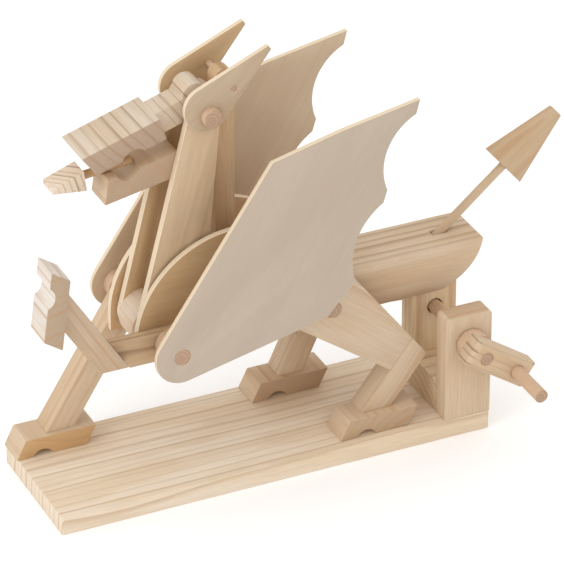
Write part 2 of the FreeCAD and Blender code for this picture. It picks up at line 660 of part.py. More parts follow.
def make_neck():
    axle, head = (s.axle_x, s.axle_z), (s.head_x, s.head_z)
    bores = [(axle, "Sizes.axle_dia / 2"), (head, "Sizes.head_dia / 2 + Sizes.running_gap")]
    board("neck_plate_near", neck_path(), neck_near_y, "Sizes.neck_thick", bores)
    board("neck_plate_far", neck_path(), neck_far_y, "Sizes.neck_thick", bores)
    pin = (s.axle_x + s.lever_x, s.axle_z + s.lever_z)
    board("neck_hub", strap(axle, s.hub_dia / 2, pin, s.lever_round), hub_near_y,
          "Sizes.neck_pitch - Sizes.neck_thick",
          [(axle, "Sizes.axle_dia / 2"), (pin, "Sizes.pin_dia / 2")])
    dowel("drive_pin", pin, hub_near_y + s.drive_pin_set,
          "Sizes.main_post_y + Sizes.post_thick + Sizes.face_gap + Sizes.disc_thick"
          " + Sizes.rod_gap + Sizes.ply_thick + Sizes.drive_pin_proud - Sizes.drive_pin_set"
          " - Sizes.mid_y + (Sizes.neck_pitch - Sizes.neck_thick) / 2", "Sizes.pin_dia")
    return pin


# connecting rod: a ply strip from the crank pin to the neck's lever
def make_rod(pin, throw):
    board("connecting_rod", strap(pin, s.rod_round, throw, s.rod_round), rod_y,
          "Sizes.ply_thick", [(pin, "Sizes.pin_dia / 2 + Sizes.running_gap"),
                              (throw, "Sizes.pin_dia / 2 + Sizes.running_gap")])


# head: dowel, upper jaw with its knuckle and crest, ears and the pin between them
def make_upper_jaw():
    head = (s.head_x, s.head_z)
    body = new_body("upper_jaw")
    def at(back, up):
        return turned((back, up), s.jaw_tilt, head)
    top, low = s.knuckle_radius, s.knuckle_radius - s.jaw_thick
    arch = -s.jaw_step - s.jaw_arch_in
    block = sketch_on(body, "XZ_Plane", "bloc")
    outline(block, [
        at(-s.jaw_step, top), at(-s.jaw_front, top), at(-s.jaw_front + s.jaw_rake, low),
        at(arch - s.jaw_arch_half, low),
        ("arc", at(arch, low + s.jaw_arch_high), at(arch + s.jaw_arch_half, low)),
        at(-s.jaw_step, low)])
    main = pad(body, block, "Sizes.jaw_wide")
    main.Midplane = True
    doc.recompute()
    neck = sketch_on(body, "XZ_Plane", "neck")
    under = -math.sqrt(s.knuckle_radius ** 2 - low ** 2)
    outline(neck, [
        at(-s.jaw_step - s.jaw_lap, top), at(-s.jaw_step - s.jaw_lap, low), at(under, low),
        ("arc", at(s.knuckle_radius, 0), at(0, top))])
    tang = pad(body, neck, "Sizes.knuckle_wide")
    tang.Midplane = True
    doc.recompute()
    brow = sketch_on(body, "XZ_Plane", "brow")
    round_hole(brow, at(-s.crest_lead, s.crest_rise), "Sizes.crest_radius")
    crest = pad(body, brow, "Sizes.knuckle_wide")
    crest.Midplane = True
    doc.recompute()
    drill = sketch_on(body, "XZ_Plane", "bore")
    round_hole(drill, head, "Sizes.head_dia / 2")
    pocket_through(body, drill)
    body.Placement.Base = V(0, s.mid_y, 0)


def ear_path():
    centre = (s.head_x - s.ear_lead, s.head_z + s.ear_lift)
    tip_low = (s.head_x + s.ear_tip_run, s.head_z + s.ear_tip_rise)
    tip_high = (tip_low[0] - s.ear_tip_back, tip_low[1] + s.ear_tip_high)
    return [tip_low, tip_high] + round_end(tip_high, tip_low, centre, s.ear_radius, 1)


def make_head():
    head = (s.head_x, s.head_z)
    pin = (s.head_x + s.ear_pin_x, s.head_z + s.ear_pin_z)
    bores = [(head, "Sizes.head_dia / 2"), (pin, "Sizes.ear_pin_dia / 2")]
    ears_wide = "Sizes.neck_pitch + Sizes.neck_thick + 2 * (Sizes.face_gap + Sizes.ply_thick)"
    board("ear_near", ear_path(), ear_near_y, "Sizes.ply_thick", bores)
    board("ear_far", ear_path(), ear_far_y, "Sizes.ply_thick", bores)
    dowel("head_dowel", head, ear_near_y - s.head_proud,
          f"Sizes.head_proud + {ears_wide} + Sizes.head_collar_long", "Sizes.head_dia")
    ring("head_collar", head, ear_far_y + s.ply_thick, "Sizes.head_collar_long",
         "Sizes.head_collar_dia", "Sizes.head_dia")
    dowel("ear_pin", pin, ear_near_y, ears_wide, "Sizes.ear_pin_dia")
    make_upper_jaw()


# link: an upright bar from the ear pin down to a pin between the cheeks
def make_link():
    foot, top = (link_x, s.link_foot_z), (link_x, s.head_z + s.ear_pin_z)
    half = s.link_wide / 2
    hollow = s.knuckle_radius + s.link_hollow
    reach = math.sqrt(hollow ** 2 - (foot[0] - half - s.head_x) ** 2)
    path = [
        (foot[0] + half, foot[1]), (top[0] + half, top[1]),
        ("arc", (top[0], top[1] + half), (top[0] - half, top[1])),
        (foot[0] - half, s.head_z + reach),
        ("arc", (s.head_x + hollow, s.head_z), (foot[0] - half, s.head_z - reach)),
        (foot[0] - half, foot[1]), ("arc", (foot[0], foot[1] - half), (foot[0] + half, foot[1]))]
    board("head_link", path, s.mid_y - s.link_thick / 2, "Sizes.link_thick",
          [(foot, "Sizes.pin_dia / 2 + Sizes.running_gap"),
           (top, "Sizes.ear_pin_dia / 2 + Sizes.link_play")])


# lower jaw between the neck plates, and the tongue that lies on it
def make_lower_jaw():
    chin = (s.chin_x, s.chin_z)
    def at(back, up):
        return turned((back, up), s.chin_tilt, chin)
    thick = s.chin_thick
    arch, reach = s.chin_arch_in, s.chin_arch_half
    path = [
        at(0, 0), at(s.chin_long, 0), at(s.chin_long, thick), at(arch + reach, thick),
        ("arc", at(arch, thick - s.chin_arch_deep), at(arch - reach, thick)),
        at(s.chin_rake, thick)]
    body = board("lower_jaw", path, hub_near_y, "Sizes.neck_pitch - Sizes.neck_thick")
    groove = sketch_on(body, "XZ_Plane", "keel")
    stem = tongue_at(0)
    half = s.tongue_dia / 2
    def along_stem(out, up):
        return turned((out, up), s.tongue_tilt, stem)
    outline(groove, [
        along_stem(-s.groove_lead, -half), along_stem(s.groove_long, -half),
        along_stem(s.groove_long, half + thick), along_stem(-s.groove_lead, half + thick)])
    cut = body.newObject("PartDesign::Pocket", "lower_jaw_groove")
    cut.Profile = groove
    cut.setExpression("Length", "Sizes.tongue_dia")
    groove.AttachmentOffset = FreeCAD.Placement(V(0, 0, hub_near_y - s.mid_y),
                                                FreeCAD.Rotation())
    cut.Midplane = True
    before = body.Shape.Volume
    doc.recompute()
    check_cut(body, before)


def tongue_at(distance):
    return turned((distance, 0), s.tongue_tilt, (s.tongue_x, s.tongue_z))


def make_tongue():
    rod = doc.addObject("Part::Cylinder", "tongue_rod")
    rod.Label = "tongue_rod"
    rod.setExpression("Radius", "Sizes.tongue_dia / 2")
    rod.setExpression("Height", "Sizes.tongue_stem")
    root = tongue_at(-s.tongue_glued)
    rod.Placement = FreeCAD.Placement(
        V(root[0], s.mid_y, root[1]), FreeCAD.Rotation(V(0, 1, 0), 90 - s.tongue_tilt))
    parts.append(rod)
    def at(out, up):
        return turned((out, up), s.tongue_tilt, tongue_at(0))
    path = [
        at(0, s.tongue_wide / 2), at(-s.tongue_long, s.tongue_nose / 2),
        at(-s.tongue_long, -s.tongue_nose / 2), at(0, -s.tongue_wide / 2)]
    body = board("tongue_tip", path, s.mid_y - s.tongue_thick / 2, "Sizes.tongue_thick")
    bore_along(body, rod)


def bore_along(body, rod):
    """Bores the piece for a round rod that is glued into it."""
    doc.recompute()
    cut = doc.addObject("Part::Cut", f"{body.Name}_bored")
    cut.Base = body
    cut.Tool = rod
    doc.recompute()
    parts[parts.index(body)] = cut
    label = body.Label
    body.Label = f"{label}_blank"
    cut.Label = label


# tail: a thin dowel on a cross pin in the body, with a barb at its end
def make_tail():
    rod = doc.addObject("Part::Cylinder", "tail_stem")
    rod.setExpression("Radius", "Sizes.tail_dia / 2")
    rod.setExpression("Height", "Sizes.tail_in + Sizes.tail_out + Sizes.tail_glued")
    root = tail_point(-s.tail_in)
    rod.Placement = FreeCAD.Placement(
        V(root[0], s.mid_y, root[1]), FreeCAD.Rotation(V(0, 1, 0), 90 - s.tail_angle))
    pivot = tail_point(s.tail_pin_in - s.tail_in)
    hole = doc.addObject("Part::Cylinder", "tail_stem_hole")
    hole.setExpression("Radius", "Sizes.tail_pin_dia / 2 + Sizes.running_gap")
    hole.setExpression("Height", "2 * Sizes.tail_dia")
    hole.Placement = FreeCAD.Placement(
        V(pivot[0], s.mid_y + s.tail_dia, pivot[1]), FreeCAD.Rotation(V(1, 0, 0), 90))
    bored = doc.addObject("Part::Cut", "tail_rod")
    bored.Label = "tail_rod"
    bored.Base = rod
    bored.Tool = hole
    parts.append(bored)
    def at(out, up):
        return turned((out, up), s.tail_angle, tail_point(s.tail_out))
    path = [
        at(0, s.barb_wide / 2), at(0, -s.barb_wide / 2),
        at(s.barb_long, -s.barb_tip / 2), at(s.barb_long, s.barb_tip / 2)]
    body = board("tail_barb", path, s.mid_y - s.barb_thick / 2, "Sizes.barb_thick")
    bore_along(body, rod)
    reach = tail_pin_reach()
    dowel("tail_pin", pivot, s.mid_y - reach, f"{2 * reach}", "Sizes.tail_pin_dia")


make_base()
make_posts()
make_body()
make_cheeks()
make_rail()
make_legs()
crank_throw_point = make_crank()
make_wings()
drive_pin_point = make_neck()
make_rod(drive_pin_point, crank_throw_point)
make_head()
make_link()
make_lower_jaw()
make_tongue()
make_tail()
doc.recompute()

for item in doc.Objects:
    if "Invalid" in item.State or "Error" in item.State:
        raise RuntimeError(f"{item.Label} failed: {item.State}")
os.makedirs("parts", exist_ok=True)
for item in parts:
    shape = item.Shape
    if shape.isNull() or not shape.isValid() or len(shape.Solids) != 1:
        raise RuntimeError(f"{item.Label} has no good solid")
    box = shape.BoundBox
    print(f"{item.Label:18s} x {box.XMin:7.1f} {box.XMax:7.1f}  y {box.YMin:6.1f} "
          f"{box.YMax:6.1f}  z {box.ZMin:6.1f} {box.ZMax:6.1f}  vol {shape.Volume:9.0f}")
    shape.exportStep(f"parts/{item.Label}.step")
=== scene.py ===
import json
import math

import bpy
from mathutils import Euler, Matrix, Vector


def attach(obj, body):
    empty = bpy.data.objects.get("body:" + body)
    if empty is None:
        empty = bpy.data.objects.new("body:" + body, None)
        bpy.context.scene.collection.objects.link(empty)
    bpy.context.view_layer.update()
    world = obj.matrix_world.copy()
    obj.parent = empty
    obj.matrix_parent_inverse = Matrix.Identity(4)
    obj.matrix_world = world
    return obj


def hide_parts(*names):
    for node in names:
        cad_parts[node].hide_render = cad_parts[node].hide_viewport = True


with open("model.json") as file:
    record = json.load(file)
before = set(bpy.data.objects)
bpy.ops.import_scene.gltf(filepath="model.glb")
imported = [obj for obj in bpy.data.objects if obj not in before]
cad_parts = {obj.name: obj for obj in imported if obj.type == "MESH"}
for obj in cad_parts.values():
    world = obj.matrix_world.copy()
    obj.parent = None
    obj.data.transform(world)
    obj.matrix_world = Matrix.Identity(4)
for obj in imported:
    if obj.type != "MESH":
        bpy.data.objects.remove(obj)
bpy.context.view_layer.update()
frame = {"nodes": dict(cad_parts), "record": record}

MM = 0.001
BODY_OF = {node: body for body, nodes in frame["record"]["behaviour"]["bodies"].items()
           for node in nodes}
SLOT_OF = {part["node"]: part["material_slot"] for part in frame["record"]["subparts"]}

# the grain's direction: the turn, in degrees, that brings X onto it
LENGTHWISE = (0, 0, 0)
CROSSWISE = (0, 0, 90)
UPRIGHT = (0, 90, 0)

# wood colours, and tints that multiply them
PALE_PINE = (0.66, 0.51, 0.36)
PINE_RING = (0.50, 0.29, 0.15)
PINE_END_TINT = (0.72, 0.66, 0.60)
BIRCH_FACE = (0.62, 0.46, 0.30)
BIRCH_EDGE = (0.80, 0.66, 0.48)
BEECH_SIDE = (0.66, 0.47, 0.33)
BEECH_END = (0.40, 0.26, 0.17)

# stands for the two ends of a rod that shows neither
HIDDEN_ENDS = (-1000.0, 1000.0)

# sanding: the width that each arris loses, in mm, and the corners that count as one
PINE_ARRIS = 0.5
THIN_ARRIS = 0.35
CUT_CORNER = math.radians(32)
ROUND_CORNER = math.radians(30)
FLAT_CORNER = math.radians(0.5)
SAME_POINT = 1e-6

# the share of a ring's width where its late wood starts, peaks and ends
LATE_START, LATE_PEAK, LATE_END = 0.35, 0.93, 1.0

# camera, light and floor: places and widths in metres, the lens and its sensor in mm
CAMERA_PLACE = (-0.8401, -1.8500, 1.2990)
CAMERA_LOOK = (0.3642, 0.7823, -0.5053)
CAMERA_LENS = 264.2
CAMERA_SENSOR = 36.0
LIT_POINT = (0, 0, 0.1)
FLOOR_WIDTH = 8.0
FLOOR_WHITE = 0.96
FLOOR_GLOW = 0.10


# small helpers for shader nodes

def new_group(name, inputs, outputs):
    """An empty node group with named sockets, its input node and its output node."""
    tree = bpy.data.node_groups.new(name, "ShaderNodeTree")
    for label, kind, value in inputs:
        socket = tree.interface.new_socket(name=label, in_out="INPUT", socket_type=kind)
        if value is not None:
            socket.default_value = value
    for label, kind in outputs:
        tree.interface.new_socket(name=label, in_out="OUTPUT", socket_type=kind)
    return tree, tree.nodes.new("NodeGroupInput"), tree.nodes.new("NodeGroupOutput")


def placed_group(tree, group, **values):
    """The group as a node; a value's name is the socket's name with _ for a space."""
    node = tree.nodes.new("ShaderNodeGroup")
    node.node_tree = group
    for label, value in values.items():
        feed(tree, node, label.replace("_", " "), value)
    return node


def join(tree, source, target):
    tree.links.new(source, target)


def feed(tree, node, socket, value):
    """Links a socket to the node's input, or sets the input to a plain value."""
    if isinstance(value, bpy.types.NodeSocket):
        join(tree, value, node.inputs[socket])
    else:
        node.inputs[socket].default_value = value


def math_node(tree, operation, *values):
    node = tree.nodes.new("ShaderNodeMath")
    node.operation = operation
    for index, value in enumerate(values):
        feed(tree, node, index, value)
    return node.outputs[0]


def vector_node(tree, operation, *values):
    node = tree.nodes.new("ShaderNodeVectorMath")
    node.operation = operation
    for index, value in enumerate(values):
        feed(tree, node, index, value)
    return node.outputs["Value" if operation == "LENGTH" else "Vector"]


def scaled(tree, vector, factor):
    node = tree.nodes.new("ShaderNodeVectorMath")
    node.operation = "SCALE"
    join(tree, vector, node.inputs[0])
    feed(tree, node, "Scale", factor)
    return node.outputs["Vector"]


def apart(tree, vector):
    """The vector's X, Y and Z as sockets."""
    node = tree.nodes.new("ShaderNodeSeparateXYZ")
    join(tree, vector, node.inputs[0])
    return node.outputs


def noise(tree, vector, detail=2.0, roughness=0.5, scale=1.0):
    node = tree.nodes.new("ShaderNodeTexNoise")
    join(tree, vector, node.inputs["Vector"])
    node.inputs["Scale"].default_value = scale
    node.inputs["Detail"].default_value = detail
    node.inputs["Roughness"].default_value = roughness
    return node.outputs


def remap(tree, value, low, high, to_low=0.0, to_high=1.0, smooth=True):
    node = tree.nodes.new("ShaderNodeMapRange")
    node.interpolation_type = "SMOOTHSTEP" if smooth else "LINEAR"
    for index, number in enumerate((value, low, high, to_low, to_high)):
        feed(tree, node, index, number)
    return node.outputs[0]


def blend_colours(tree, amount, first, second, mode="MIX"):
    node = tree.nodes.new("ShaderNodeMix")
    node.data_type = "RGBA"
    node.blend_type = mode
    feed(tree, node, 0, amount)
    feed(tree, node, 6, first)
    feed(tree, node, 7, second)
    return node.outputs[2]


# effects that several woods share

def build_growth_rings():
    """Growth rings about a pith line that runs along the grain (X of the vector, in mm)."""
    tree, given, result = new_group(
        "growth_rings",
        [("Vector", "NodeSocketVector", None), ("Pith", "NodeSocketVector", None),
         ("Spacing", "NodeSocketFloat", 4.0), ("Wander", "NodeSocketFloat", 2.0),
         ("Sharpness", "NodeSocketFloat", 2.2)],
        [("Late Wood", "NodeSocketFloat"), ("Ring Tone", "NodeSocketFloat")])
    place = given.outputs["Vector"]

    # the rings wander a little along the trunk
    slow = vector_node(tree, "MULTIPLY", place, (0.006, 0.03, 0.03))
    drift = vector_node(tree, "SUBTRACT", noise(tree, slow, detail=1.0)["Color"], (0.5, 0.5, 0.5))
    wander = math_node(tree, "MULTIPLY", given.outputs["Wander"], 2.0)
    moved = vector_node(tree, "ADD", place, scaled(tree, drift, wander))
    from_pith = vector_node(tree, "SUBTRACT", moved, given.outputs["Pith"])
    from_pith = vector_node(tree, "MULTIPLY", from_pith, (0.0, 1.0, 1.0))
    radius = vector_node(tree, "LENGTH", from_pith)

    # years of uneven width
    years = math_node(tree, "DIVIDE", radius, given.outputs["Spacing"])
    uneven = tree.nodes.new("ShaderNodeTexNoise")
    uneven.noise_dimensions = "1D"
    join(tree, years, uneven.inputs["W"])
    uneven.inputs["Scale"].default_value = 0.37
    years = math_node(tree, "ADD", years, math_node(tree, "MULTIPLY", uneven.outputs["Fac"], 1.6))
    year = math_node(tree, "FLOOR", years)
    season = math_node(tree, "FRACT", years)

    # pale early wood, then a dark line of late wood, stronger in some years
    rise = math_node(tree, "POWER", remap(tree, season, LATE_START, LATE_PEAK),
                     given.outputs["Sharpness"])
    fall = remap(tree, season, LATE_PEAK, LATE_END, 1.0, 0.0)
    tone = tree.nodes.new("ShaderNodeTexWhiteNoise")
    tone.noise_dimensions = "1D"
    join(tree, year, tone.inputs["W"])
    strength = remap(tree, tone.outputs["Value"], 0.0, 1.0, 0.35, 1.0, smooth=False)
    late = math_node(tree, "MULTIPLY", math_node(tree, "MULTIPLY", rise, fall), strength)
    join(tree, late, result.inputs["Late Wood"])
    join(tree, tone.outputs["Value"], result.inputs["Ring Tone"])
    return tree


def build_fibres():
    """Fine fibres, soft blotches and short flecks along the grain (X of the vector, in mm)."""
    tree, given, result = new_group(
        "fibres",
        [("Vector", "NodeSocketVector", None), ("Fleck Length", "NodeSocketFloat", 4.0)],
        [("Fibre", "NodeSocketFloat"), ("Blotch", "NodeSocketFloat"),
         ("Fleck", "NodeSocketFloat"), ("Fuzz", "NodeSocketFloat")])
    place = given.outputs["Vector"]
    thin = vector_node(tree, "MULTIPLY", place, (0.05, 1.5, 1.5))
    join(tree, noise(tree, thin, 3.0, 0.6)["Fac"], result.inputs["Fibre"])
    broad = vector_node(tree, "MULTIPLY", place, (0.012, 0.06, 0.06))
    join(tree, noise(tree, broad)["Fac"], result.inputs["Blotch"])
    stretch = tree.nodes.new("ShaderNodeCombineXYZ")
    join(tree, math_node(tree, "DIVIDE", 1.0, given.outputs["Fleck Length"]), stretch.inputs[0])
    stretch.inputs[1].default_value = 2.2
    stretch.inputs[2].default_value = 2.2
    short = vector_node(tree, "MULTIPLY", place, stretch.outputs[0])
    fleck = remap(tree, noise(tree, short, detail=1.0)["Fac"], 0.62, 0.74)
    join(tree, fleck, result.inputs["Fleck"])
    join(tree, noise(tree, place, scale=2.6)["Fac"], result.inputs["Fuzz"])
    return tree


def build_plies():
    """The thin glue lines in the edge of a three-ply board, across Y (in mm)."""
    tree, given, result = new_group(
        "plies",
        [("Vector", "NodeSocketVector", None), ("Near Face", "NodeSocketFloat", 0.0),
         ("Thickness", "NodeSocketFloat", 3.0)],
        [("Glue Line", "NodeSocketFloat"), ("Edge", "NodeSocketFloat")])
    depth = math_node(tree, "SUBTRACT", apart(tree, given.outputs["Vector"])["Y"],
                      given.outputs["Near Face"])
    depth = math_node(tree, "DIVIDE", depth, given.outputs["Thickness"])
    off_middle = math_node(tree, "ABSOLUTE", math_node(tree, "SUBTRACT", depth, 0.5))
    off_line = math_node(tree, "ABSOLUTE", math_node(tree, "SUBTRACT", off_middle, 0.17))
    join(tree, remap(tree, off_line, 0.02, 0.07, 1.0, 0.0), result.inputs["Glue Line"])
    join(tree, remap(tree, off_middle, 0.46, 0.49, 1.0, 0.0), result.inputs["Edge"])
    return tree


def build_cut_ends():
    """Where a piece with its grain along X of the vector is cut across, at its two ends."""
    tree, given, result = new_group(
        "cut_ends",
        [("Vector", "NodeSocketVector", None), ("First End", "NodeSocketFloat", 0.0),
         ("Last End", "NodeSocketFloat", 1.0), ("Depth", "NodeSocketFloat", 0.3)],
        [("End", "NodeSocketFloat")])
    along = apart(tree, given.outputs["Vector"])["X"]
    first = math_node(tree, "SUBTRACT", along, given.outputs["First End"])
    last = math_node(tree, "SUBTRACT", given.outputs["Last End"], along)
    share = math_node(tree, "DIVIDE", math_node(tree, "MINIMUM", first, last),
                      given.outputs["Depth"])
    join(tree, remap(tree, share, 0.3, 1.0, 1.0, 0.0), result.inputs["End"])
    return tree


GROWTH_RINGS = build_growth_rings()
FIBRES = build_fibres()
PLIES = build_plies()
CUT_ENDS = build_cut_ends()


# steps that the woods share

def span(node, turn):
    """The node's two ends along its grain, in mm."""
    grain = Euler([math.radians(a) for a in turn]).to_matrix() @ Vector((1, 0, 0))
    places = [vertex.co.dot(grain) / MM for vertex in frame["nodes"][node].data.vertices]
    return min(places), max(places)


def wood_shader(name, roughness):
    material = bpy.data.materials.new(name)
    material.use_nodes = True
    tree = material.node_tree
    shader = tree.nodes["Principled BSDF"]
    shader.inputs["Roughness"].default_value = roughness
    shader.inputs["Specular IOR Level"].default_value = 0.25
    return material, tree, shader


def grain_vector(tree, turn):
    """Object coordinates, and the same in mm turned so that X runs along the grain."""
    coordinates = tree.nodes.new("ShaderNodeTexCoord")
    mapping = tree.nodes.new("ShaderNodeMapping")
    mapping.vector_type = "TEXTURE"
    mapping.inputs["Rotation"].default_value = [math.radians(a) for a in turn]
    mapping.inputs["Scale"].default_value = (MM, MM, MM)
    join(tree, coordinates.outputs["Object"], mapping.inputs["Vector"])
    return coordinates.outputs["Object"], mapping.outputs["Vector"]


def tinted(colour, tint):
    return (*(part * share for part, share in zip(colour, tint)), 1)


def shaded(tree, colour, fibre, low, high):
    """The colour, a little darker and lighter from fibre to fibre."""
    streak = remap(tree, fibre, 0.3, 0.7, low, high, smooth=False)
    grey = tree.nodes.new("ShaderNodeCombineColor")
    for index in range(3):
        join(tree, streak, grey.inputs[index])
    return blend_colours(tree, 1.0, colour, grey.outputs[0], "MULTIPLY")


def end_mask(tree, place, ends, depth=0.3):
    """1 on the cut ends, fading over depth in mm to 0 along the grain."""
    return placed_group(tree, CUT_ENDS, Vector=place, First_End=ends[0], Last_End=ends[1],
                        Depth=depth).outputs["End"]


def relief(tree, shader, height, strength, depth):
    """Raises the surface where height is high, by up to depth in mm."""
    bump = tree.nodes.new("ShaderNodeBump")
    bump.inputs["Strength"].default_value = strength
    bump.inputs["Distance"].default_value = depth * MM
    join(tree, height, bump.inputs["Height"])
    join(tree, bump.outputs["Normal"], shader.inputs["Normal"])


# the woods

def pine(node, pith, spacing, turn=LENGTHWISE, wander=3.0, late=0.6, sharp=2.2, light=PALE_PINE,
         dark=PINE_RING, end_tint=PINE_END_TINT, end_depth=0.3, end_late=0.95):
    """Sawn pine with its two ends cut across the grain, each a little darker than its sides."""
    material, tree, shader = wood_shader(f"pine_{node}", 0.62)
    _, place = grain_vector(tree, turn)
    rings = placed_group(tree, GROWTH_RINGS, Vector=place, Pith=(0.0, *pith), Spacing=spacing,
                         Wander=wander, Sharpness=sharp).outputs
    fibres = placed_group(tree, FIBRES, Vector=place).outputs
    colour = blend_colours(tree, remap(tree, fibres["Blotch"], 0.35, 0.65),
                           (*light, 1), tinted(light, (0.92, 0.86, 0.77)))
    year = math_node(tree, "MULTIPLY", rings["Ring Tone"], 0.35)
    colour = blend_colours(tree, year, colour, tinted(light, (0.84, 0.76, 0.66)))
    end = end_mask(tree, place, span(node, turn), end_depth)
    colour = blend_colours(tree, end, colour, tinted(light, end_tint))
    strength = remap(tree, end, 0.0, 1.0, late, end_late)
    line = math_node(tree, "MULTIPLY", rings["Late Wood"], strength)
    colour = blend_colours(tree, line, colour, (*dark, 1))
    colour = shaded(tree, colour, fibres["Fibre"], 0.90, 1.06)
    join(tree, colour, shader.inputs["Base Color"])
    ridge = math_node(tree, "MULTIPLY", rings["Late Wood"], 0.6)
    relief(tree, shader, math_node(tree, "ADD", ridge, fibres["Fibre"]), 0.25, 0.2)
    return material


def plywood(node, turn=LENGTHWISE, face=BIRCH_FACE, figure=0.2, contrast=1.0):
    """Birch plywood: plain veneer with faint long streaks and pale edges with glue lines."""
    material, tree, shader = wood_shader(f"ply_{node}", 0.6)
    straight, place = grain_vector(tree, turn)
    fibres = placed_group(tree, FIBRES, Vector=place, Fleck_Length=9.0).outputs
    rings = placed_group(tree, GROWTH_RINGS, Vector=place, Pith=(0.0, -60.0, -260.0),
                         Spacing=9.0, Wander=9.0).outputs
    blotch = remap(tree, fibres["Blotch"], 0.3, 0.7, 0.0, contrast)
    colour = blend_colours(tree, blotch, (*face, 1), tinted(face, (0.93, 0.90, 0.86)))
    faint = math_node(tree, "MULTIPLY", rings["Late Wood"], figure)
    colour = blend_colours(tree, faint, colour, tinted(face, (0.72, 0.62, 0.50)))
    flecks = math_node(tree, "MULTIPLY", fibres["Fleck"], 0.18)
    colour = blend_colours(tree, flecks, colour, tinted(face, (0.72, 0.62, 0.52)))
    colour = shaded(tree, colour, fibres["Fibre"], 1 - 0.06 * contrast, 1 + 0.04 * contrast)

    # the edge shows its plies, and neither streaks nor relief
    near_face, far_face = span(node, CROSSWISE)
    plies = placed_group(tree, PLIES, Vector=scaled(tree, straight, 1 / MM),
                         Near_Face=near_face, Thickness=far_face - near_face).outputs
    glue = math_node(tree, "MULTIPLY", plies["Glue Line"], 0.55)
    rim = blend_colours(tree, glue, (*BIRCH_EDGE, 1), tinted(BIRCH_EDGE, (0.66, 0.55, 0.44)))
    colour = blend_colours(tree, plies["Edge"], colour, rim)
    join(tree, colour, shader.inputs["Base Color"])
    on_face = math_node(tree, "SUBTRACT", 1.0, plies["Edge"])
    relief(tree, shader, math_node(tree, "MULTIPLY", fibres["Fibre"], on_face), 0.15, 0.15)
    return material


def beech(node, ends, turn=CROSSWISE, pith=(0, 0), colour=BEECH_SIDE):
    """Beech dowel: pinkish tan with short flecks, darker and ringed where it is cut across."""
    material, tree, shader = wood_shader(f"beech_{node}", 0.52)
    _, place = grain_vector(tree, turn)
    fibres = placed_group(tree, FIBRES, Vector=place, Fleck_Length=2.5).outputs
    side = blend_colours(tree, remap(tree, fibres["Blotch"], 0.3, 0.7), (*colour, 1),
                         tinted(colour, (0.90, 0.85, 0.78)))
    flecks = math_node(tree, "MULTIPLY", fibres["Fleck"], 0.35)
    side = blend_colours(tree, flecks, side, tinted(colour, (0.60, 0.52, 0.45)))
    rings = placed_group(tree, GROWTH_RINGS, Vector=place, Pith=(0.0, *pith), Spacing=1.9,
                         Wander=1.0).outputs
    mottle = math_node(tree, "MAXIMUM", rings["Late Wood"],
                       remap(tree, fibres["Fuzz"], 0.5, 0.72))
    cut = blend_colours(tree, mottle, (*BEECH_END, 1), tinted(BEECH_END, (1.45, 1.5, 1.55)))
    wood = blend_colours(tree, end_mask(tree, place, ends), side, cut)
    wood = shaded(tree, wood, fibres["Fibre"], 0.92, 1.05)
    join(tree, wood, shader.inputs["Base Color"])
    relief(tree, shader, fibres["Fibre"], 0.2, 0.15)
    return material


def dowel(node):
    """A dowel across the toy, with the heart of its tree a little off its own middle."""
    corners = [Vector(corner) for corner in frame["nodes"][node].bound_box]
    middle = sum(corners, Vector()) / len(corners) / MM
    return beech(node, span(node, CROSSWISE), pith=(1.5 - middle.x, middle.z - 1.0))


